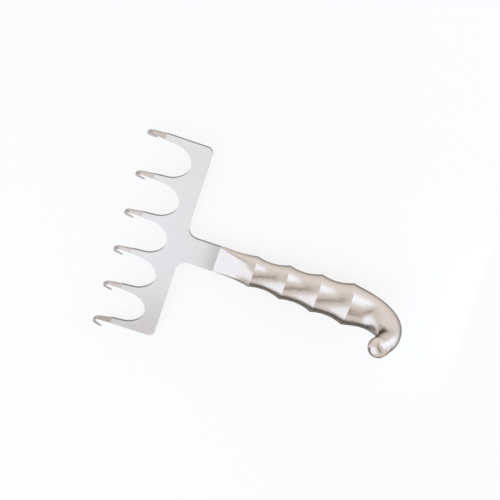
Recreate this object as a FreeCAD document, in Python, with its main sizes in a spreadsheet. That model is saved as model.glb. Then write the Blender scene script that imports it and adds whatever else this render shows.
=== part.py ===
import FreeCAD, Part
import math
import os
import Sketcher

# Handheld rake retractor in stainless steel, in millimetres.
#
# The working frame has X along the handle, with the cross bar's back edge at X 0 and the prongs on the
# minus side, Y across the prongs, and Z up towards the side that the hooks curl to, with the plate's
# hooked face at Z 0. Both pieces are built there and then laid down together on the handle's ridges.

V = FreeCAD.Vector
Y_AXIS = V(0, 1, 0)
Z_AXIS = V(0, 0, 1)

# Alias, value in millimetres or degrees, meaning
SIZES = [
    ("plate_thick", 2.2, "thickness of the rake's plate"),
    ("rake_width", 158.0, "across the outer edges of the outer prongs"),
    ("inner_root_width", 3.8, "an inner prong where its hook starts"),
    ("outer_root_width", 4.4, "an outer prong where its hook starts"),
    ("bar_depth", 11.7, "cross bar, from its back edge to the bottom of a gap"),
    ("gap_narrowing", 2.4, "from half a gap's mouth to the radius of its round bottom"),
    ("gap_side_step", 5.0, "from that radius to the radius of the curve into a prong's flank"),
    ("flank_angle", 5.0, "a prong's flank against its axis"),
    ("flat_reach", 33.5, "from the cross bar's back edge to where the hooks start"),
    ("bar_corner_radius", 4.6, "outer corners of the cross bar"),
    ("shank_width", 20.4, "width of the shank"),
    ("shank_length", 25.5, "from the cross bar to the handle's mouth"),
    ("shank_fillet", 8.0, "inner corners between cross bar and shank"),
    ("tang_length", 18.0, "stretch of the plate inside the handle"),
    ("tang_thick", 2.0, "thickness of that stretch, ground down a little on both sides"),
    ("tang_clearance", 0.05, "gap round the tang in its socket"),
    ("ramp_length", 9.0, "straight rising stretch before a hook's curl"),
    ("ramp_angle", 8.0, "rise of that stretch"),
    ("curl_radius", 3.4, "bend of a hook, to the middle of its section"),
    ("curl_end_angle", 20.0, "slope of a hook's returning end"),
    ("tip_length", 4.6, "straight returning end of a hook"),
    ("tip_width", 1.1, "section of a hook at its tip"),
    ("tip_inset", 0.9, "from an outer prong's outer edge to the middle of its tip"),
    ("root_grinding", 0.3, "ground-off edges of a hook at its root"),
    ("tip_grinding", 0.32, "ground-off edges of a hook at its tip"),
    ("handle_wall", 1.2, "wall of the hollow handle"),
    ("lip_height", 0.15, "step from the plate up to the front edge of the handle's mouth"),
    ("lip_corner", 0.4, "corner radius of that front edge"),
    ("bevel_length", 3.6, "ground bevel round the mouth"),
    ("mouth_corner", 0.9, "corner radius of the section behind the bevel"),
    ("neck_at", 12.0, "from the mouth to the narrowest section of the neck"),
    ("neck_width", 19.6, "width of that section"),
    ("neck_thick", 7.8, "thickness of that section"),
    ("neck_corner", 2.4, "corner radius of that section"),
    ("neck_rise", 0.5, "height of its middle above the plate's middle"),
    ("first_ridge_at", 27.4, "from the mouth to the first ridge"),
    ("first_ridge_width", 22.7, "diameter of the first ridge"),
    ("first_ridge_rise", 1.3, "height of its middle above the plate's middle"),
    ("last_ridge_width", 30.9, "diameter of the last ridge"),
    ("last_ridge_rise", 2.75, "height of its middle above the plate's middle"),
    ("finger_pitch", 23.8, "from one ridge to the next"),
    ("seat_share", 0.42, "where a seat is deepest, as a share of the pitch"),
    ("seat_depth", 2.0, "hollow of a finger seat below the line of the ridges"),
    ("hook_lead", 8.5, "straight stretch of the axis behind the last ridge"),
    ("hook_radius", 23.2, "bend of the handle's hooked end"),
    ("hook_turn", 119.0, "slope of the axis at the end of that bend"),
    ("hook_tail", 12.0, "straight end of the hook"),
    ("hook_quarter_width", 24.9, "width of the hook a quarter of the way along"),
    ("hook_middle_width", 20.8, "width half-way along"),
    ("hook_end_width", 14.5, "width of the rounded end"),
]
PRONGS = 6
RIDGES = 4
HOOK_SECTIONS = 12
# The hollow ends in the round tip as a blunt cone, this share of its radius long and wide at its end
BLUNT_SHARE = 0.7
# Angles on the first ridge's circle between which the neck's four corners run out
CORNER_MARKS = (15, 42, 138, 165, 195, 222, 318, 345)
# Angles at which the other circles are split, since shorter arcs make simpler faces
EIGHTHS = (0, 45, 90, 135, 180, 225, 270, 315)

# Lengths under which two places count as the same
NEAR = 0.01


# Alias and formula of the values that follow from the driving sizes
DERIVED = [
    ("tang_width", "shank_width - 2 * handle_wall - 2 * tang_clearance"),
    ("tang_end", "shank_length + tang_length"),
    ("tang_top", "0 - (plate_thick - tang_thick) / 2"),
    ("half_rake", "rake_width / 2"),
    ("half_shank", "shank_width / 2"),
    ("half_tang", "tang_width / 2"),
    ("prong_pitch", "(half_rake - outer_root_width + inner_root_width / 2) / 2.5"),
    ("outer_gap", "2 * prong_pitch"),
    ("gap_mouth", "prong_pitch - inner_root_width"),
    ("gap_floor_radius", "gap_mouth / 2 - gap_narrowing"),
    ("gap_side_radius", "gap_floor_radius + gap_side_step"),
    ("gap_floor_x", "bar_depth + gap_floor_radius"),
    ("gap_pattern", "4 * prong_pitch"),
    ("inner_pattern", "3 * prong_pitch"),
    ("first_inner", "1.5 * prong_pitch"),
    ("outer_tip_y", "half_rake - tip_inset"),
    ("outer_root_shift", "half_rake - outer_root_width / 2 - outer_tip_y"),
    ("ramp_start_z", "0 - plate_thick / 2"),
    ("ramp_end_x", "0 - flat_reach - ramp_length * cos(ramp_angle)"),
    ("ramp_end_z", "ramp_start_z + ramp_length * sin(ramp_angle)"),
    ("curl_x", "ramp_end_x + curl_radius * sin(ramp_angle)"),
    ("curl_z", "ramp_end_z + curl_radius * cos(ramp_angle)"),
    ("curl_end_x", "curl_x - curl_radius * sin(curl_end_angle)"),
    ("curl_end_z", "curl_z + curl_radius * cos(curl_end_angle)"),
    ("tip_x", "curl_end_x + tip_length * cos(curl_end_angle)"),
    ("tip_z", "curl_end_z + tip_length * sin(curl_end_angle)"),
]


def make_sheet(doc):
    """Write the driving sizes and what follows from them to one sheet, with an alias for each cell."""
    sheet = doc.addObject("Spreadsheet::Sheet", "Sizes")
    rows = [(alias, str(value), meaning) for alias, value, meaning in SIZES]
    rows += [(alias, "=" + formula, "worked out") for alias, formula in DERIVED]
    for row, (alias, content, meaning) in enumerate(rows, start=1):
        sheet.set("A%d" % row, meaning)
        sheet.set("B%d" % row, content)
        sheet.setAlias("B%d" % row, alias)
    doc.recompute()
    return sheet


def origin_item(body, role):
    """Find one of a body's own origin planes or axes by its role."""
    return next(item for item in body.Origin.OriginFeatures if item.Role == role)


def new_sketch(body, name, role):
    """Add an empty sketch on one of the body's own planes."""
    sketch = body.newObject("Sketcher::SketchObject", name)
    sketch.AttachmentSupport = [(origin_item(body, role), "")]
    sketch.MapMode = "FlatFace"
    return sketch


def shift_sketch(sketch, axis, formula):
    """Move a sketch off its plane, along one of the sketch's own axes."""
    sketch.setExpression("AttachmentOffset.Base." + axis, formula)


def constrain(sketch, formula, *terms):
    """Add one dimension that follows a formula."""
    index = sketch.addConstraint(Sketcher.Constraint(*terms))
    sketch.setExpression("Constraints[%d]" % index, formula)


def pin(sketch, geometry, end, x_formula, y_formula):
    """Hold one end of a piece of geometry at a place that two formulas give."""
    point = sketch.getPoint(geometry, end)
    constrain(sketch, x_formula, "DistanceX", -1, 1, geometry, end, point.x)
    constrain(sketch, y_formula, "DistanceY", -1, 1, geometry, end, point.y)


def line(sketch, start, end):
    """Add a straight line between two points."""
    return sketch.addGeometry(Part.LineSegment(start, end), False)


def arc(sketch, centre, radius, start, end):
    """Add an arc that runs anticlockwise between two angles in radians."""
    return sketch.addGeometry(Part.ArcOfCircle(Part.Circle(centre, Z_AXIS, radius), start, end), False)


def value(sketch, formula):
    """Work out a formula now, as the sketch's own constraints will."""
    return float(sketch.evalExpression(formula))


def polygon(sketch, corners):
    """Draw a closed outline of straight lines, each corner given by two formulas."""
    points = [V(value(sketch, x), value(sketch, y), 0) for x, y in corners]
    lines = [line(sketch, here, there) for here, there in zip(points, points[1:] + points[:1])]
    for here, there in zip(lines, lines[1:] + lines[:1]):
        sketch.addConstraint(Sketcher.Constraint("Coincident", here, 2, there, 1))
    for index, (x, y) in zip(lines, corners):
        pin(sketch, index, 1, x, y)


def ground_section(sketch, width, height, grinding, shift="0"):
    """Draw a rectangle with its four corners ground off, from formulas."""
    corners = []
    for x_sign, y_sign in ((1, 1), (-1, 1), (-1, -1), (1, -1)):
        side = "%s + %d * %s / 2" % (shift, x_sign, width)
        level = "%d * %s / 2" % (y_sign, height)
        beside = ("%s - %d * %s" % (side, x_sign, grinding), level)
        below = (side, "%s - %d * %s" % (level, y_sign, grinding))
        corners += [below, beside] if x_sign == y_sign else [beside, below]
    polygon(sketch, corners)


def upright_edges(shape, x, y):
    """Name the upright edges of a plate at (x, y) and (x, -y)."""
    names = []
    for number, edge in enumerate(shape.Edges, start=1):
        box = edge.BoundBox
        upright = max(box.XLength, box.YLength) < NEAR
        if upright and abs(box.XMin - x) < NEAR and abs(abs(box.YMin) - y) < NEAR:
            names.append("Edge%d" % number)
    return names


def round_corners(body, name, x, y, radius):
    """Round the two upright edges of the body's last feature at (x, y) and (x, -y)."""
    base = body.Tip
    fillet = body.newObject("PartDesign::Fillet", name)
    fillet.Base = (base, upright_edges(base.Shape, x, y))
    fillet.setExpression("Radius", radius)
    body.Document.recompute()


def repeat(body, name, feature, length, count):
    """Repeat a feature across the rake, over a length that a formula gives."""
    pattern = body.newObject("PartDesign::LinearPattern", name)
    pattern.Originals = [feature]
    pattern.Direction = (origin_item(body, "Y_Axis"), [""])
    pattern.setExpression("Length", length)
    pattern.Occurrences = count
    body.Tip = pattern
    body.Document.recompute()


def flat_pad(body, name, half, top, thickness):
    """Pad an outline downwards, given one half of it in corners and mirrored across the handle's axis."""
    outline = new_sketch(body, name + "_outline", "XY_Plane")
    shift_sketch(outline, "z", top)
    polygon(outline, half + [(x, "-" + y) for x, y in reversed(half)])
    pad = body.newObject("PartDesign::Pad", name + "_pad")
    pad.Profile = outline
    pad.setExpression("Length", thickness)
    pad.Reversed = True
    body.Document.recompute()


def plate(body, sheet):
    """Cut the flat plate, with the cross bar, the prongs' land and the shank, and the thinner tang."""
    half = [
        ("-Sizes.flat_reach", "Sizes.half_rake"),
        ("0", "Sizes.half_rake"),
        ("0", "Sizes.half_shank"),
        ("Sizes.shank_length", "Sizes.half_shank"),
    ]
    flat_pad(body, "plate", half, "0", "Sizes.plate_thick")
    round_corners(body, "bar_corners", 0, sheet.half_rake, "Sizes.bar_corner_radius")
    round_corners(body, "shank_corners", 0, sheet.half_shank, "Sizes.shank_fillet")
    half = [("Sizes.shank_length", "Sizes.half_tang"), ("Sizes.tang_end", "Sizes.half_tang")]
    flat_pad(body, "tang", half, "Sizes.tang_top", "Sizes.tang_thick")


def gap_outline(sketch, sheet):
    """Draw one gap between prongs: a round floor, two curves and two flanks that open outwards."""
    floor_radius = sheet.gap_floor_radius
    side_radius = sheet.gap_side_radius
    flank = math.radians(sheet.flank_angle)
    centre = V(-sheet.gap_floor_x, -sheet.outer_gap, 0)
    mouth = V(sheet.gap_floor_x - sheet.flat_reach, sheet.gap_mouth / 2, 0)
    # A side curve runs on from the floor at this turn, and reaches the flank where the two are square
    step = side_radius - floor_radius
    inward = side_radius - mouth.x * math.sin(flank) - mouth.y * math.cos(flank)
    turn = math.asin(inward / step) - flank
    last = math.pi / 2 - flank
    floor = arc(sketch, centre, floor_radius, -turn, turn)
    corners = []
    for sign in (1, -1):
        side = centre + V(-step * math.cos(turn), -sign * step * math.sin(turn), 0)
        touch = side + V(math.cos(last), sign * math.sin(last), 0) * side_radius
        span = (turn, last) if sign > 0 else (-last, -turn)
        curve = arc(sketch, side, side_radius, *span)
        flank_line = line(sketch, touch, centre + V(mouth.x, sign * mouth.y, 0))
        near_end, far_end = (1, 2) if sign > 0 else (2, 1)
        sketch.addConstraint(Sketcher.Constraint("Tangent", floor, far_end, curve, near_end))
        sketch.addConstraint(Sketcher.Constraint("Tangent", curve, far_end, flank_line, 1))
        constrain(sketch, "Sizes.gap_side_radius", "Radius", curve, side_radius)
        angle = "%d * (180 - Sizes.flank_angle) * 1 deg" % sign
        constrain(sketch, angle, "Angle", flank_line, sign * (math.pi - flank))
        pin(sketch, flank_line, 2, "-Sizes.flat_reach", "-Sizes.outer_gap + %d * Sizes.gap_mouth / 2" % sign)
        corners.append(flank_line)
    closing = line(sketch, sketch.getPoint(corners[0], 2), sketch.getPoint(corners[1], 2))
    sketch.addConstraint(Sketcher.Constraint("Coincident", corners[0], 2, closing, 1))
    sketch.addConstraint(Sketcher.Constraint("Coincident", corners[1], 2, closing, 2))
    pin(sketch, floor, 3, "-Sizes.gap_floor_x", "-Sizes.outer_gap")
    constrain(sketch, "Sizes.gap_floor_radius", "Radius", floor, floor_radius)


def gaps(body, sheet):
    """Cut the gaps that leave the tapering prongs standing."""
    outline = new_sketch(body, "gap_outline", "XY_Plane")
    gap_outline(outline, sheet)
    pocket = body.newObject("PartDesign::Pocket", "gap_cut")
    pocket.Profile = outline
    pocket.Type = "ThroughAll"
    pocket.Midplane = True
    body.Document.recompute()
    repeat(body, "gap_cuts", pocket, "Sizes.gap_pattern", PRONGS - 1)


def hook(body, name, place, root_width, root_shift):
    """Draw out one prong: up a gentle ramp, round its curl and back along the tip, thinning all the way."""
    path = new_sketch(body, name + "_path", "XZ_Plane")
    shift_sketch(path, "z", "-(%s)" % place)
    start = V(value(path, "-Sizes.flat_reach"), value(path, "Sizes.ramp_start_z"), 0)
    ramp_end = V(value(path, "Sizes.ramp_end_x"), value(path, "Sizes.ramp_end_z"), 0)
    centre = V(value(path, "Sizes.curl_x"), value(path, "Sizes.curl_z"), 0)
    curl_end = V(value(path, "Sizes.curl_end_x"), value(path, "Sizes.curl_end_z"), 0)
    tip = V(value(path, "Sizes.tip_x"), value(path, "Sizes.tip_z"), 0)
    ramp = line(path, start, ramp_end)
    first = math.pi / 2 + math.radians(value(path, "Sizes.curl_end_angle"))
    last = 3 * math.pi / 2 - math.radians(value(path, "Sizes.ramp_angle"))
    curl = arc(path, centre, (curl_end - centre).Length, first, last)
    end = line(path, curl_end, tip)
    path.addConstraint(Sketcher.Constraint("Coincident", ramp, 2, curl, 2))
    path.addConstraint(Sketcher.Constraint("Coincident", curl, 1, end, 1))
    pin(path, ramp, 1, "-Sizes.flat_reach", "Sizes.ramp_start_z")
    pin(path, ramp, 2, "Sizes.ramp_end_x", "Sizes.ramp_end_z")
    pin(path, end, 1, "Sizes.curl_end_x", "Sizes.curl_end_z")
    pin(path, end, 2, "Sizes.tip_x", "Sizes.tip_z")
    constrain(path, "Sizes.curl_radius", "Radius", curl, (curl_end - centre).Length)

    root = new_sketch(body, name + "_root", "YZ_Plane")
    shift_sketch(root, "x", place)
    shift_sketch(root, "y", "Sizes.ramp_start_z")
    shift_sketch(root, "z", "-Sizes.flat_reach")
    ground_section(root, root_width, "Sizes.plate_thick", "Sizes.root_grinding", root_shift)

    point = new_sketch(body, name + "_point", "YZ_Plane")
    point.AttachmentOffset = FreeCAD.Placement(V(), FreeCAD.Rotation(V(1, 0, 0), 1))
    point.setExpression("AttachmentOffset.Rotation.Angle", "180 - Sizes.curl_end_angle")
    shift_sketch(point, "x", place)
    shift_sketch(point, "y", "Sizes.tip_z")
    shift_sketch(point, "z", "Sizes.tip_x")
    ground_section(point, "Sizes.tip_width", "Sizes.tip_width", "Sizes.tip_grinding")
    body.Document.recompute()

    pipe = body.newObject("PartDesign::AdditivePipe", name)
    pipe.Profile = root
    pipe.Spine = (path, ["Edge1", "Edge2", "Edge3"])
    pipe.Sections = [point]
    pipe.Transformation = "Multisection"
    body.Document.recompute()
    return pipe


def rake_blade(doc, sheet):
    """The rake: one plate with six prongs, each drawn out and curled into a small blunt hook."""
    body = doc.addObject("PartDesign::Body", "rake_blade")
    body.Label = "rake_blade"
    plate(body, sheet)
    gaps(body, sheet)
    inner = hook(body, "inner_hook", "-Sizes.first_inner", "Sizes.inner_root_width", "0")
    repeat(body, "inner_hooks", inner, "Sizes.inner_pattern", PRONGS - 2)
    outer = hook(body, "outer_hook", "Sizes.outer_tip_y", "Sizes.outer_root_width", "Sizes.outer_root_shift")
    twin = body.newObject("PartDesign::Mirrored", "outer_hooks")
    twin.Originals = [outer]
    twin.MirrorPlane = (origin_item(body, "XZ_Plane"), [""])
    body.Tip = twin
    doc.recompute()
    return body


def ring(centre, slope, radius, marks=EIGHTHS):
    """Make a circle across the handle, leaning by a slope in radians and split at angles in degrees."""
    curve = Part.Circle(V(), Z_AXIS, radius)
    angles = [math.radians(mark) for mark in marks]
    spans = zip(angles, angles[1:] + [angles[0] + 2 * math.pi])
    wire = Part.Wire([Part.Arc(curve, start, end).toShape() for start, end in spans])
    up = V(-math.sin(slope), 0, math.cos(slope))
    wire.Placement = FreeCAD.Placement(centre, FreeCAD.Rotation(Y_AXIS, up, Y_AXIS.cross(up), "XYZ"))
    return wire


def heading(slope):
    """Direction along the handle at a slope in radians."""
    return V(math.cos(slope), 0, math.sin(slope))


class Grip:
    """The straight axis through the ridges and the radii on it, of the skin or, a wall less, of the hollow."""

    def __init__(self, sheet, inset):
        rise = sheet.last_ridge_rise - sheet.first_ridge_rise
        self.sheet = sheet
        self.inset = inset
        self.length = (RIDGES - 1) * sheet.finger_pitch
        self.slope = math.asin(rise / self.length)
        first_x = sheet.shank_length + sheet.first_ridge_at
        self.first = V(first_x, 0, sheet.first_ridge_rise - sheet.plate_thick / 2)

    def point(self, distance, out):
        """A point at a distance from the first ridge, out from the axis towards the hooks' side."""
        up = V(-math.sin(self.slope), 0, math.cos(self.slope))
        return self.first + heading(self.slope) * distance + up * out

    def radius(self, distance, sunk=0):
        """Radius at a distance from the first ridge, sunk below the straight line of the ridges."""
        share = distance / self.length
        width = self.sheet.first_ridge_width * (1 - share) + self.sheet.last_ridge_width * share
        return width / 2 - sunk - self.inset

    def hook_bend(self):
        """Length of the axis in the bend of the hooked end."""
        return self.sheet.hook_radius * (math.radians(self.sheet.hook_turn) - self.slope)

    def hook_length(self):
        """Length of the axis from the last ridge to the middle of the round tip."""
        return self.sheet.hook_lead + self.hook_bend() + self.sheet.hook_tail


def seat_profile(grip, points):
    """Profile of a seat through three points: curved on the skin, plain in the hollow that can't be seen."""
    if grip.inset:
        return Part.makePolygon(points).Edges
    return [Part.Arc(*points).toBSpline().toShape()]


def finger_seats(grip):
    """Turn the grip between its first and last ridges, with a seat from each crest to the next."""
    sheet = grip.sheet
    start = grip.point(0, 0)
    end = grip.point(grip.length, 0)
    edges = [Part.LineSegment(start, grip.point(0, grip.radius(0))).toShape()]
    for number in range(RIDGES - 1):
        places = [(number + share) * sheet.finger_pitch for share in (0, sheet.seat_share, 1)]
        depths = (0, sheet.seat_depth, 0)
        points = [grip.point(place, grip.radius(place, sunk)) for place, sunk in zip(places, depths)]
        edges += seat_profile(grip, points)
    edges.append(Part.LineSegment(grip.point(grip.length, grip.radius(grip.length)), end).toShape())
    edges.append(Part.LineSegment(end, start).toShape())
    return Part.Face(Part.Wire(edges)).revolve(start, heading(grip.slope), 360)


def hook_station(grip, distance):
    """Place and slope of the hooked end's axis at a distance from the last ridge."""
    sheet = grip.sheet
    lead = min(distance, sheet.hook_lead)
    bent = min(max(distance - sheet.hook_lead, 0), grip.hook_bend())
    slope = grip.slope + bent / sheet.hook_radius
    place = grip.point(grip.length + lead, 0)
    across = V(math.sin(slope) - math.sin(grip.slope), 0, math.cos(grip.slope) - math.cos(slope))
    return place + across * sheet.hook_radius + heading(slope) * (distance - lead - bent), slope


def hook_half_width(grip, share):
    """Half the hook's width at a share of its length, on a smooth curve through its named widths."""
    sheet = grip.sheet
    widths = [
        sheet.last_ridge_width,
        sheet.hook_quarter_width,
        sheet.hook_middle_width,
        sheet.hook_end_width,
        sheet.hook_end_width,
    ]
    spans = len(widths) - 1
    index = min(int(share * spans), spans - 1)
    part = share * spans - index
    slopes = [0.0] * len(widths)
    for inner in range(1, spans):
        before = widths[inner] - widths[inner - 1]
        after = widths[inner + 1] - widths[inner]
        slopes[inner] = 2 * before * after / (before + after) if before * after > 0 else 0.0
    slopes[0] = 2 * (widths[1] - widths[0]) - slopes[1]
    low, high = widths[index], widths[index + 1]
    square, cube = part ** 2, part ** 3
    blend = (2 * cube - 3 * square + 1) * low + (3 * square - 2 * cube) * high
    lean = (cube - 2 * square + part) * slopes[index] + (cube - square) * slopes[index + 1]
    return (blend + lean) / 2


def hook_rings(grip):
    """Circles across the thick hook behind the last ridge."""
    rings = []
    for number in range(HOOK_SECTIONS + 1):
        share = number / HOOK_SECTIONS
        place, slope = hook_station(grip, share * grip.hook_length())
        rings.append(ring(place, slope, hook_half_width(grip, share) - grip.inset))
    return rings


def hooked_end(grip):
    """Loft the hook's skin smoothly and close it with a round tip."""
    place, slope = hook_station(grip, grip.hook_length())
    radius = grip.sheet.hook_end_width / 2
    tip = Part.makeSphere(radius, place, heading(slope), 0, 90, 360)
    return [Part.makeLoft(hook_rings(grip), True, False), tip]


def hook_hollow(grip):
    """Loft the hollow inside the hook in straight bands, which can't be seen, to a blunt cone in its tip."""
    place, slope = hook_station(grip, grip.hook_length())
    blunt = (grip.sheet.hook_end_width / 2 - grip.inset) * BLUNT_SHARE
    end = ring(place + heading(slope) * blunt, slope, blunt)
    return Part.makeLoft(hook_rings(grip) + [end], True, True)


def rounded_wire(x, z, half_width, half_height, corner):
    """Make an upright rounded rectangle across the handle, as four sides and four corners."""
    edges = []
    arcs = []
    for turn, (y_sign, z_sign) in enumerate(((1, 1), (-1, 1), (-1, -1), (1, -1))):
        centre = V(x, y_sign * (half_width - corner), z + z_sign * (half_height - corner))
        angles = [math.pi / 2 * (turn + share) for share in (0, 0.5, 1)]
        points = [centre + V(0, math.cos(angle), math.sin(angle)) * corner for angle in angles]
        arcs.append(points)
    for here, there in zip(arcs, arcs[1:] + arcs[:1]):
        edges.append(Part.Arc(*here).toShape())
        edges.append(Part.LineSegment(here[2], there[0]).toShape())
    return Part.Wire(edges)


def neck(grip):
    """Loft the flat mouth with its ground bevel, and the neck that runs from flat to round."""
    sheet = grip.sheet
    half = sheet.shank_width / 2
    flat = sheet.plate_thick / 2
    front = sheet.shank_length
    lip = rounded_wire(front, -flat, half, flat + sheet.lip_height, sheet.lip_corner)
    behind = front + sheet.bevel_length
    mouth = rounded_wire(behind, -flat, half, flat + sheet.handle_wall, sheet.mouth_corner)
    waist_size = (sheet.neck_width / 2, sheet.neck_thick / 2, sheet.neck_corner)
    waist = rounded_wire(front + sheet.neck_at, sheet.neck_rise - flat, *waist_size)
    crest = ring(grip.first, grip.slope, grip.radius(0), CORNER_MARKS)
    return [Part.makeLoft([lip, mouth], True, True), Part.makeLoft([mouth, waist, crest], True, False)]


def joined(solids):
    """Fuse solids that meet end to end."""
    return solids[0].multiFuse(solids[1:]).removeSplitter()


def grip_handle(doc, sheet):
    """The handle: a hollow shell from its mouth to its hooked end, with a socket for the tang."""
    outer = Grip(sheet, 0)
    skin = doc.addObject("Part::Feature", "grip_skin")
    skin.Shape = joined(neck(outer) + [finger_seats(outer)] + hooked_end(outer))
    inner = Grip(sheet, sheet.handle_wall)
    hollow = doc.addObject("Part::Feature", "grip_hollow")
    hollow.Shape = joined([finger_seats(inner), hook_hollow(inner)])
    socket = doc.addObject("Part::Box", "tang_socket")
    for name, formula in (
        ("Length", "Sizes.tang_length + Sizes.tang_clearance"),
        ("Width", "Sizes.tang_width + 2 * Sizes.tang_clearance"),
        ("Height", "Sizes.tang_thick + 2 * Sizes.tang_clearance"),
        ("Placement.Base.x", "Sizes.shank_length"),
        ("Placement.Base.y", "-Sizes.half_tang - Sizes.tang_clearance"),
        ("Placement.Base.z", "Sizes.tang_top - Sizes.tang_thick - Sizes.tang_clearance"),
    ):
        socket.setExpression(name, formula)
    shell = doc.addObject("Part::Cut", "grip_shell")
    shell.Base = skin
    shell.Tool = hollow
    handle = doc.addObject("Part::Cut", "grip_handle")
    handle.Label = "grip_handle"
    handle.Base = shell
    handle.Tool = socket
    doc.recompute()
    return handle


def lay_down(pieces, sheet):
    """Tip the pieces so that all the handle's ridges touch the ground, and centre their box over it."""
    grip = Grip(sheet, 0)
    front = grip.point(0, -grip.radius(0))
    rear = grip.point(grip.length, -grip.radius(grip.length))
    tilt = math.degrees(math.atan2(front.z - rear.z, rear.x - front.x))
    tipped = FreeCAD.Placement(V(), FreeCAD.Rotation(Y_AXIS, -tilt))
    boxes = [piece.Shape.transformed(tipped.toMatrix()).optimalBoundingBox(False) for piece in pieces]
    whole = boxes[0]
    for box in boxes[1:]:
        whole.add(box)
    ground = V(-whole.Center.x, -whole.Center.y, -tipped.multVec(front).z)
    for piece in pieces:
        piece.Placement = FreeCAD.Placement(ground, FreeCAD.Rotation()).multiply(tipped)


def check(doc, pieces):
    """Stop if an object of the document failed or a piece is not one sound solid."""
    for item in doc.Objects:
        if "Invalid" in item.State or "Error" in item.State:
            raise RuntimeError("%s failed: %s" % (item.Label, item.State))
    for piece in pieces:
        shape = piece.Shape
        if shape.isNull() or not shape.isValid() or len(shape.Solids) != 1:
            raise RuntimeError("%s is not one sound solid" % piece.Label)


def main():
    doc = FreeCAD.newDocument("rake_retractor")
    sheet = make_sheet(doc)
    pieces = [rake_blade(doc, sheet), grip_handle(doc, sheet)]
    check(doc, pieces)
    lay_down(pieces, sheet)
    doc.recompute()
    check(doc, pieces)
    os.makedirs("parts", exist_ok=True)
    for piece in pieces:
        piece.Shape.exportStep("parts/%s.step" % piece.Label)
        box = piece.Shape.optimalBoundingBox(False)
        print(piece.Label, round(piece.Shape.Volume, 1), "cubic mm,", box, piece.Shape.CenterOfGravity)
        print(piece.Placement)


main()
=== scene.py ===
import logging
import math
from dataclasses import dataclass
from enum import Enum

import bpy
from mathutils import Matrix, Vector


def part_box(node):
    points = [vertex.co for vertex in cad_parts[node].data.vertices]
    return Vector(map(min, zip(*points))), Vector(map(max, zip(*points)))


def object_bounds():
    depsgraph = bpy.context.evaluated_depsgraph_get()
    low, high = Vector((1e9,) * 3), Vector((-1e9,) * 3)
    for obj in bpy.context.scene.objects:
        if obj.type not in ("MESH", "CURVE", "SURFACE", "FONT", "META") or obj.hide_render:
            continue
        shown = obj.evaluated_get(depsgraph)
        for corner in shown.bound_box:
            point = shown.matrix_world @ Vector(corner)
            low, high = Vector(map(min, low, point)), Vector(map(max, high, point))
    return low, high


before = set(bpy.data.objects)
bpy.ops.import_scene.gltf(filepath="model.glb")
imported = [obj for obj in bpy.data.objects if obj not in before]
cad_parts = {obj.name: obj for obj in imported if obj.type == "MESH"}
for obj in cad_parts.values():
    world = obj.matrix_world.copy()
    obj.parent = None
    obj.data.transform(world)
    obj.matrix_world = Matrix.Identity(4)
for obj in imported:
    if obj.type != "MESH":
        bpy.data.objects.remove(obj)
CAD_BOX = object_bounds()

LOG = logging.getLogger("rake_retractor")
MM = 0.001

# The Mix node repeats its sockets' names for each type of data, so its colour sockets go by number
MIX_SHARE, MIX_LOW, MIX_HIGH, MIX_RESULT = 0, 6, 7, 2


class Slot(Enum):
    """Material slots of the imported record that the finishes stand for."""

    BLADE = "blade_satin"
    HANDLE = "handle_polished"


class Node(Enum):
    """The two rigid pieces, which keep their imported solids."""

    BLADE = "rake_blade"
    HANDLE = "grip_handle"


class Zone(Enum):
    """Zones of the blade whose finish differs from the blasted plate, and zones of painted shade."""

    BUFFED = "hooked ends of the prongs"
    TIP_SHADE = "curled tips of the hooks"
    EDGE_SHADE = "edges of the sheet"
    TINTED = "end of the shank next to the handle"


def linear(hex_colour: str) -> tuple[float, float, float, float]:
    """Turn an sRGB hex colour into linear light.

    Args:
        hex_colour: Six hex digits behind a hash sign.

    Returns:
        Linear red, green and blue, and an alpha of 1.
    """
    channels = []
    for start in (1, 3, 5):
        share = int(hex_colour[start:start + 2], 16) / 255
        channels.append(share / 12.92 if share <= 0.04045 else ((share + 0.055) / 1.055) ** 2.4)
    return (*channels, 1.0)


def add_node(tree: bpy.types.NodeTree, kind: str, settings: dict[str | int, object] | None = None,
             links: dict[str | int, bpy.types.NodeSocket] | None = None) -> bpy.types.Node:
    """Add one shader node, set it up and link what goes into it.

    Args:
        tree: The node tree that gets the node.
        kind: Blender's name of the node's type.
        settings: Values by socket name or number, or by attribute name where no socket has that name.
        links: Output sockets by the name or number of the input socket that they feed.

    Returns:
        The new node.
    """
    node = tree.nodes.new(kind)
    for name, setting in (settings or {}).items():
        if isinstance(name, int) or name in node.inputs:
            node.inputs[name].default_value = setting
        else:
            setattr(node, name, setting)
    for name, output in (links or {}).items():
        tree.links.new(output, node.inputs[name])
    return node


def per_metre(size_mm: float) -> float:
    """Give the scale of a noise whose features are as large as a real size in millimetres."""
    return 1 / (size_mm * MM)


def blank_material(name: str) -> bpy.types.Material:
    """Make a material with an empty node tree.

    Args:
        name: The material's name.

    Returns:
        The material.
    """
    material = bpy.data.materials.new(name)
    material.use_nodes = True
    material.node_tree.nodes.clear()
    return material


@dataclass(frozen=True)
class BladeMarks:
    """Places on the blade where its finish or its painted shade changes, in metres along the object's own
    axes.
    """

    hooks_end_x: float
    mouth_x: float
    tip_shade_from_z: float


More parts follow.
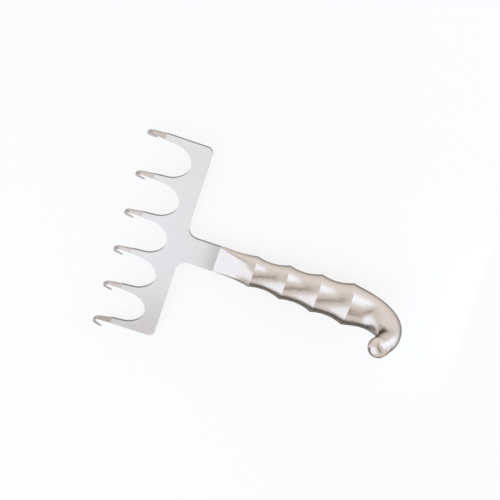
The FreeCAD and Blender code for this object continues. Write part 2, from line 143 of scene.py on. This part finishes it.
@dataclass(frozen=True)
class BeadBlastedSteel:
    """Stainless steel sheet, blasted with glass beads after cutting and bending.

    The beads leave tiny round dents, so the plate has an even, cool grey sheen with no mirror image. Its
    sheared edges are painted darker, as shade on the faces that stand upright. The hooked ends are buffed
    afterwards, so they are smoother and pick up the warm tone of polished steel, and their edges and curled
    tips are painted greyer, as shade.
    """

    colour: str = "#F0EAE4"
    colour_low: str = "#E8E2DC"
    # Painted shade: the upright faces of the sheet's edges are drawn in this darker colour
    edge_shade_colour: str = "#9A9692"
    buffed_colour: str = "#D2C5BA"
    # Painted shade: the curled tips of the hooks are drawn in this greyer colour
    tip_shade_colour: str = "#B8B1AD"
    # Next to the braze the steel keeps a little of its straw-coloured heat tint
    tinted_colour: str = "#D7D1C9"
    tinted_mm: float = 14.0
    roughness: float = 0.58
    roughness_spread: float = 0.05
    buffed_roughness: float = 0.26
    # The jet of beads is moved by hand, which leaves faint clouds in the sheen
    cloud_mm: float = 14.0
    cloud_detail: float = 3.0
    # Bead dents are about 0.1 mm across and a few microns deep, and are drawn coarser and deeper to show
    dent_mm: float = 0.4
    dent_height_mm: float = 0.04
    dent_detail: float = 2.0
    buffed_edge_mm: float = 0.5
    # Height over which the tips' painted shade fades in
    tip_shade_fade_mm: float = 2.4
    # The normal's part along Z, 1 on a level face, where the edges' painted shade starts and where it is
    # full
    edge_shade_starts_level: float = 0.8
    edge_shade_full_level: float = 0.5

    def zones(self, tree: bpy.types.NodeTree, place: bpy.types.Node,
              marks: BladeMarks) -> dict[Zone, bpy.types.NodeSocket]:
        """Measure how much each zone covers a point of the blade.

        Args:
            tree: The node tree to add to.
            place: The node that gives the object's own coordinates and normals.
            marks: Where the finish changes.

        Returns:
            The share of each zone, from 0 to 1.
        """
        point = add_node(tree, "ShaderNodeSeparateXYZ", {}, {"Vector": place.outputs["Object"]})
        facing = add_node(tree, "ShaderNodeSeparateXYZ", {}, {"Vector": place.outputs["Normal"]})
        level = add_node(tree, "ShaderNodeMath", {"operation": "ABSOLUTE"}, {0: facing.outputs["Z"]})
        half_edge = self.buffed_edge_mm * MM / 2
        tip_shade_full_z = marks.tip_shade_from_z + self.tip_shade_fade_mm * MM
        limits = {
            Zone.BUFFED: (point.outputs["X"], marks.hooks_end_x + half_edge, marks.hooks_end_x - half_edge),
            # Painted shade on the curled tips, growing towards the top
            Zone.TIP_SHADE: (point.outputs["Z"], marks.tip_shade_from_z, tip_shade_full_z),
            # Painted shade on the edges, by how far the face is turned from level
            Zone.EDGE_SHADE: (level.outputs["Value"], self.edge_shade_starts_level, self.edge_shade_full_level),
            Zone.TINTED: (point.outputs["X"], marks.mouth_x - self.tinted_mm * MM, marks.mouth_x),
        }
        shares = {}
        for zone, (value, none_at, full_at) in limits.items():
            shares[zone] = add_node(tree, "ShaderNodeMapRange", {
                "interpolation_type": "SMOOTHSTEP", "From Min": none_at, "From Max": full_at,
            }, {"Value": value}).outputs["Result"]
        return shares

    def colours(self, tree: bpy.types.NodeTree, cloud: bpy.types.NodeSocket,
                zones: dict[Zone, bpy.types.NodeSocket]) -> bpy.types.NodeSocket:
        """Lay the zones' colours over the plate's own, with painted shade on the edges and curled tips
        among them.

        Args:
            tree: The node tree to add to.
            cloud: The clouds' share.
            zones: The zones' shares.

        Returns:
            The colour's socket.
        """
        plate = add_node(tree, "ShaderNodeMix", {
            "data_type": "RGBA", MIX_LOW: linear(self.colour_low), MIX_HIGH: linear(self.colour),
        }, {MIX_SHARE: cloud})
        tinted = add_node(tree, "ShaderNodeMix", {
            "data_type": "RGBA", MIX_HIGH: linear(self.tinted_colour),
        }, {MIX_SHARE: zones[Zone.TINTED], MIX_LOW: plate.outputs[MIX_RESULT]})
        # Painted shade greys the curled tips of the buffed ends
        buffed_and_tip_shade = add_node(tree, "ShaderNodeMix", {
            "data_type": "RGBA", MIX_LOW: linear(self.buffed_colour), MIX_HIGH: linear(self.tip_shade_colour),
        }, {MIX_SHARE: zones[Zone.TIP_SHADE]})
        # Painted shade darkens the upright edges, and is greyer on the buffed ends
        edge_shade = add_node(tree, "ShaderNodeMix", {
            "data_type": "RGBA", MIX_LOW: linear(self.edge_shade_colour), MIX_HIGH: linear(self.tip_shade_colour),
        }, {MIX_SHARE: zones[Zone.BUFFED]})
        colour = tinted.outputs[MIX_RESULT]
        for zone, over in ((Zone.BUFFED, buffed_and_tip_shade), (Zone.EDGE_SHADE, edge_shade)):
            colour = add_node(tree, "ShaderNodeMix", {"data_type": "RGBA"}, {
                MIX_SHARE: zones[zone], MIX_LOW: colour, MIX_HIGH: over.outputs[MIX_RESULT],
            }).outputs[MIX_RESULT]
        return colour

    def dents(self, tree: bpy.types.NodeTree, place: bpy.types.Node,
              buffed: bpy.types.NodeSocket) -> bpy.types.NodeSocket:
        """Press the bead dents into all but the buffed ends.

        Args:
            tree: The node tree to add to.
            place: The node that gives the object's own coordinates.
            buffed: The buffed ends' share.

        Returns:
            The bent normal's socket.
        """
        noise = add_node(tree, "ShaderNodeTexNoise", {
            "Scale": per_metre(self.dent_mm), "Detail": self.dent_detail,
        }, {"Vector": place.outputs["Object"]})
        blasted = add_node(tree, "ShaderNodeMath", {"operation": "SUBTRACT", 0: 1.0}, {1: buffed})
        return add_node(tree, "ShaderNodeBump", {"Distance": self.dent_height_mm * MM}, {
            "Height": noise.outputs["Fac"], "Strength": blasted.outputs["Value"],
        }).outputs["Normal"]

    def material(self, marks: BladeMarks) -> bpy.types.Material:
        """Make the blade's material.

        Args:
            marks: Where the finish changes.

        Returns:
            The material, which places its zones by the object's own coordinates and normals.
        """
        material = blank_material("bead_blasted_stainless_steel")
        tree = material.node_tree
        place = add_node(tree, "ShaderNodeTexCoord")
        zones = self.zones(tree, place, marks)
        cloud = add_node(tree, "ShaderNodeTexNoise", {
            "Scale": per_metre(self.cloud_mm), "Detail": self.cloud_detail,
        }, {"Vector": place.outputs["Object"]}).outputs["Fac"]
        matt = add_node(tree, "ShaderNodeMapRange", {
            "To Min": self.roughness - self.roughness_spread,
            "To Max": self.roughness + self.roughness_spread,
        }, {"Value": cloud})
        rough = add_node(tree, "ShaderNodeMapRange", {"To Max": self.buffed_roughness}, {
            "Value": zones[Zone.BUFFED], "To Min": matt.outputs["Result"],
        })
        shader = add_node(tree, "ShaderNodeBsdfPrincipled", {"Metallic": 1.0}, {
            "Base Color": self.colours(tree, cloud, zones),
            "Roughness": rough.outputs["Result"],
            "Normal": self.dents(tree, place, zones[Zone.BUFFED]),
        })
        add_node(tree, "ShaderNodeOutputMaterial", {}, {"Surface": shader.outputs["BSDF"]})
        return material


@dataclass(frozen=True)
class HandPolishedSteel:
    """Stainless steel shell, pressed, welded, ground flush and buffed by hand.

    The wheel leaves a soft gloss, long shallow waves and fine lines along the grip, so lamps show in it as
    blurred patches with uneven edges, on the warm grey that stainless steel has where it is smooth.
    """

    colour: str = "#E8DCD2"
    colour_low: str = "#DCCEC3"
    # A dark tint on the gloss at a low angle is painted shade, which darkens the handle towards its outline
    outline_shade_tint: str = "#2A2723"
    roughness: float = 0.29
    roughness_spread: float = 0.06
    wave_mm: float = 7.0
    wave_height_mm: float = 0.22
    wave_detail: float = 1.0
    # Buffing lines are about 0.05 mm wide and a micron deep, and are drawn coarser and deeper to show
    line_mm: float = 1.4
    line_length_mm: float = 24.0
    line_height_mm: float = 0.07
    line_detail: float = 2.0
    # The wheel is led by hand, which leaves clouds in the gloss
    cloud_mm: float = 11.0
    cloud_detail: float = 3.0

    def relief(self, tree: bpy.types.NodeTree, place: bpy.types.NodeSocket) -> bpy.types.NodeSocket:
        """Raise the buffing lines on top of the waves.

        Args:
            tree: The node tree to add to.
            place: The object's own coordinates.

        Returns:
            The bent normal's socket.
        """
        waves = add_node(tree, "ShaderNodeTexNoise", {
            "Scale": per_metre(self.wave_mm), "Detail": self.wave_detail,
        }, {"Vector": place})
        wavy = add_node(tree, "ShaderNodeBump", {"Distance": self.wave_height_mm * MM}, {
            "Height": waves.outputs["Fac"],
        })
        stretched = add_node(tree, "ShaderNodeMapping", {
            "Scale": (self.line_mm / self.line_length_mm, 1.0, 1.0),
        }, {"Vector": place})
        lines = add_node(tree, "ShaderNodeTexNoise", {
            "Scale": per_metre(self.line_mm), "Detail": self.line_detail,
        }, {"Vector": stretched.outputs["Vector"]})
        return add_node(tree, "ShaderNodeBump", {"Distance": self.line_height_mm * MM}, {
            "Height": lines.outputs["Fac"], "Normal": wavy.outputs["Normal"],
        }).outputs["Normal"]

    def material(self) -> bpy.types.Material:
        """Make the handle's material.

        Returns:
            The material, whose waves, lines and clouds lie in the object's own coordinates.
        """
        material = blank_material("hand_polished_stainless_steel")
        tree = material.node_tree
        place = add_node(tree, "ShaderNodeTexCoord").outputs["Object"]
        cloud = add_node(tree, "ShaderNodeTexNoise", {
            "Scale": per_metre(self.cloud_mm), "Detail": self.cloud_detail,
        }, {"Vector": place}).outputs["Fac"]
        colour = add_node(tree, "ShaderNodeMix", {
            "data_type": "RGBA", MIX_LOW: linear(self.colour_low), MIX_HIGH: linear(self.colour),
        }, {MIX_SHARE: cloud})
        rough = add_node(tree, "ShaderNodeMapRange", {
            "To Min": self.roughness - self.roughness_spread,
            "To Max": self.roughness + self.roughness_spread,
        }, {"Value": cloud})
        # The dark specular tint paints shade along the handle's outline
        shader = add_node(tree, "ShaderNodeBsdfPrincipled", {
            "Metallic": 1.0, "Specular Tint": linear(self.outline_shade_tint),
        }, {
            "Base Color": colour.outputs[MIX_RESULT],
            "Roughness": rough.outputs["Result"],
            "Normal": self.relief(tree, place),
        })
        add_node(tree, "ShaderNodeOutputMaterial", {}, {"Surface": shader.outputs["BSDF"]})
        return material


@dataclass
class RakeBlade:
    """The flat plate with its six curled prongs."""

    finish: BeadBlastedSteel = BeadBlastedSteel()
    buffed_length_mm: float = 13.0
    tang_length_mm: float = 18.0
    # Depth below the top of the curls that gets painted shade
    curl_height_mm: float = 5.6

    def dress(self) -> None:
        """Give the plate its finish, with the hooked ends of the prongs buffed."""
        lowest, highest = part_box(Node.BLADE.value)
        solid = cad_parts[Node.BLADE.value]
        marks = BladeMarks(
            lowest.x + self.buffed_length_mm * MM,
            highest.x - self.tang_length_mm * MM,
            highest.z - self.curl_height_mm * MM,
        )
        solid.material_slots[0].material = self.finish.material(marks)
        LOG.info("%s dressed, hooks from X %.4f m", solid.name, lowest.x)


@dataclass
class GripHandle:
    """The hollow handle with its ridges and hooked end."""

    finish: HandPolishedSteel = HandPolishedSteel()

    def dress(self) -> None:
        """Give the handle its finish."""
        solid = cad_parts[Node.HANDLE.value]
        solid.material_slots[0].material = self.finish.material()
        LOG.info("%s dressed", solid.name)


def direction(azimuth_deg: float, elevation_deg: float) -> Vector:
    """Turn a compass direction into a vector.

    Args:
        azimuth_deg: Angle from +X towards +Y.
        elevation_deg: Angle above the floor.

    Returns:
        The unit vector that points there.
    """
    azimuth, elevation = math.radians(azimuth_deg), math.radians(elevation_deg)
    return Vector((
        math.cos(azimuth) * math.cos(elevation),
        math.sin(azimuth) * math.cos(elevation),
        math.sin(elevation),
    ))


@dataclass(frozen=True)
class Softbox:
    """A soft lamp beside the object, which the polished handle mirrors as a white patch.

    Its lengths are in metres, and its brightness is what its face adds to the sky behind it.
    """

    name: str
    azimuth_deg: float
    elevation_deg: float
    distance: float
    width: float
    height: float
    brightness: float
    colour: str = "#B9D8FF"

    def build(self, aim: Vector) -> None:
        """Hang the lamp and turn it to the object.

        Args:
            aim: The point that the lamp faces.
        """
        lamp = bpy.data.lights.new(self.name, "AREA")
        lamp.shape = "RECTANGLE"
        lamp.size = self.width
        lamp.size_y = self.height
        lamp.color = linear(self.colour)[:3]
        # A lamp's energy is shared out over its face, so a larger one needs more to be as bright
        lamp.energy = self.brightness * math.pi * self.width * self.height
        holder = bpy.data.objects.new(self.name, lamp)
        toward = direction(self.azimuth_deg, self.elevation_deg)
        holder.location = aim + toward * self.distance
        holder.rotation_mode = "QUATERNION"
        holder.rotation_quaternion = toward.to_track_quat("Z", "Y")
        holder.visible_camera = False
        bpy.context.scene.collection.objects.link(holder)
        LOG.info("%s hung", self.name)


@dataclass(frozen=True)
class Flag:
    """A card that only mirrors see, as a photographer sets up to draw the edges of polished metal.

    Its lengths are in metres, and it is shifted along the handle by the last of them.
    """

    name: str
    azimuth_deg: float
    elevation_deg: float
    distance: float
    width: float
    height: float
    along: float
    colour: str

    def build(self, aim: Vector) -> None:
        """Stand the card and turn it to the object.

        Args:
            aim: The point that the card faces.
        """
        toward = direction(self.azimuth_deg, self.elevation_deg)
        turn = toward.to_track_quat("Z", "Y").to_matrix().to_4x4()
        middle = aim + Vector((self.along, 0.0, 0.0)) + toward * self.distance
        card = flat_board(self.name, self.width, self.height, Matrix.Translation(middle) @ turn,
                          matt_board(self.name + "_board", self.colour))
        card.visible_camera = False
        card.visible_diffuse = False
        card.visible_shadow = False
        LOG.info("%s stood", self.name)


def matt_board(name: str, colour: str) -> bpy.types.Material:
    """Make the material of painted matt board, which has no gloss at all.

    Args:
        name: The material's name.
        colour: Its sRGB hex colour.

    Returns:
        The material.
    """
    material = blank_material(name)
    tree = material.node_tree
    shader = add_node(tree, "ShaderNodeBsdfDiffuse", {"Color": linear(colour), "Roughness": 1.0})
    add_node(tree, "ShaderNodeOutputMaterial", {}, {"Surface": shader.outputs["BSDF"]})
    return material


def flat_board(name: str, width: float, height: float, place: Matrix,
               material: bpy.types.Material) -> bpy.types.Object:
    """Cut a flat board for the studio, which isn't part of the object.

    Args:
        name: The board's name.
        width: Its width in metres.
        height: Its height in metres.
        place: Where its middle is, and how it is turned.
        material: What it is painted with.

    Returns:
        The board.
    """
    half_width, half_height = width / 2, height / 2
    corners = [(-half_width, -half_height), (half_width, -half_height),
               (half_width, half_height), (-half_width, half_height)]
    mesh = bpy.data.meshes.new(name)
    mesh.from_pydata([place @ Vector((x, y, 0)) for x, y in corners], [], [(0, 1, 2, 3)])
    mesh.materials.append(material)
    board = bpy.data.objects.new(name, mesh)
    bpy.context.scene.collection.objects.link(board)
    return board


@dataclass(frozen=True)
class PhotoCamera:
    """The camera of the reference view, above the object and turned nearly upside down."""

    place_mm: tuple[float, float, float] = (-78.56, 337.48, 633.31)
    aim_mm: tuple[float, float, float] = (-11.75, 9.89, 0.0)
    roll_deg: float = 172.87
    lens_mm: float = 72.0
    sensor_mm: float = 36.0

    def build(self) -> None:
        """Set the camera up and make it the scene's own."""
        data = bpy.data.cameras.new("photo_camera")
        data.lens = self.lens_mm
        data.sensor_width = self.sensor_mm
        camera = bpy.data.objects.new("photo_camera", data)
        place, aim = Vector(self.place_mm) * MM, Vector(self.aim_mm) * MM
        look = (aim - place).to_track_quat("-Z", "Y")
        roll = Matrix.Rotation(math.radians(-self.roll_deg), 4, "Z")
        camera.matrix_world = Matrix.Translation(place) @ look.to_matrix().to_4x4() @ roll
        bpy.context.scene.collection.objects.link(camera)
        bpy.context.scene.camera = camera
        LOG.info("camera set, %.3f m away", (aim - place).length)


@dataclass
class Studio:
    """A white floor under an even sky, three softboxes and the cards that draw the metal's edges."""

    floor_size: float = 8.0
    floor_colour: str = "#FAFAFA"
    floor_lift: float = 0.75
    sky_colour: str = "#FFFFFF"
    sky_strength: float = 0.83
    softboxes: tuple[Softbox, ...] = (
        Softbox("softbox_left", azimuth_deg=220.0, elevation_deg=43.0, distance=0.55,
                width=0.86, height=0.68, brightness=0.69),
        Softbox("softbox_right", azimuth_deg=47.0, elevation_deg=17.0, distance=0.50,
                width=0.62, height=0.38, brightness=0.86),
        Softbox("softbox_low", azimuth_deg=8.0, elevation_deg=9.0, distance=0.155,
                width=0.10, height=0.042, brightness=1.1),
    )
    # The front card draws the dark band along the seats, and the top one the streak down their middle
    flags: tuple[Flag, ...] = (
        Flag("flag_front", azimuth_deg=270.0, elevation_deg=18.0, distance=0.085,
             width=0.17, height=0.052, along=0.048, colour="#706B64"),
        Flag("flag_rake_end", azimuth_deg=270.0, elevation_deg=18.0, distance=0.085,
             width=0.09, height=0.052, along=-0.082, colour="#F8F6F4"),
        Flag("flag_camera", azimuth_deg=105.0, elevation_deg=39.0, distance=0.60,
             width=0.15, height=0.10, along=0.0, colour="#9A9086"),
        Flag("flag_top", azimuth_deg=43.0, elevation_deg=75.0, distance=0.56,
             width=0.95, height=0.15, along=0.0, colour="#A89D91"),
    )

    def floor_material(self) -> bpy.types.Material:
        """Make white board, with plain white laid over it for the camera and for mirrors.

        Returns:
            The material. The board still shows through enough to keep the object's shadow.
        """
        material = blank_material("white_floor_board")
        tree = material.node_tree
        board = add_node(tree, "ShaderNodeBsdfDiffuse", {
            "Color": linear(self.floor_colour), "Roughness": 1.0,
        })
        white = add_node(tree, "ShaderNodeEmission", {"Strength": 1.0})
        rays = add_node(tree, "ShaderNodeLightPath")
        seen = rays.outputs["Is Camera Ray"]
        for kind in ("Is Glossy Ray", "Is Transmission Ray"):
            seen = add_node(tree, "ShaderNodeMath", {"operation": "MAXIMUM"}, {
                0: seen, 1: rays.outputs[kind],
            }).outputs["Value"]
        lift = add_node(tree, "ShaderNodeMath", {"operation": "MULTIPLY", 1: self.floor_lift}, {0: seen})
        surface = add_node(tree, "ShaderNodeMixShader", {}, {
            0: lift.outputs["Value"], 1: board.outputs["BSDF"], 2: white.outputs["Emission"],
        })
        add_node(tree, "ShaderNodeOutputMaterial", {}, {"Surface": surface.outputs["Shader"]})
        return material

    def build_floor(self) -> None:
        """Lay the floor that the object rests on."""
        board = self.floor_material()
        flat_board("studio_floor", self.floor_size, self.floor_size, Matrix.Identity(4), board)
        LOG.info("floor laid, %.1f m wide", self.floor_size)

    def build_sky(self) -> None:
        """Make the even light all round."""
        world = bpy.data.worlds.new("studio_sky")
        world.use_nodes = True
        tree = world.node_tree
        tree.nodes.clear()
        sky = add_node(tree, "ShaderNodeBackground", {
            "Color": linear(self.sky_colour), "Strength": self.sky_strength,
        })
        add_node(tree, "ShaderNodeOutputWorld", {}, {"Surface": sky.outputs["Background"]})
        bpy.context.scene.world = world

    def build(self) -> None:
        """Build the whole studio round the object."""
        lowest, highest = CAD_BOX
        aim = Vector(((lowest.x + highest.x) / 2, 0.0, lowest.z))
        self.build_floor()
        self.build_sky()
        for softbox in self.softboxes:
            softbox.build(aim)
        for flag in self.flags:
            flag.build(aim)


def main() -> None:
    """Dress the two pieces, light them and set the camera."""
    logging.basicConfig(level=logging.INFO, format="%(name)s: %(message)s")
    bpy.context.scene.view_settings.view_transform = "Standard"
    RakeBlade().dress()
    GripHandle().dress()
    Studio().build()
    PhotoCamera().build()


if __name__ == "__main__":
    main()
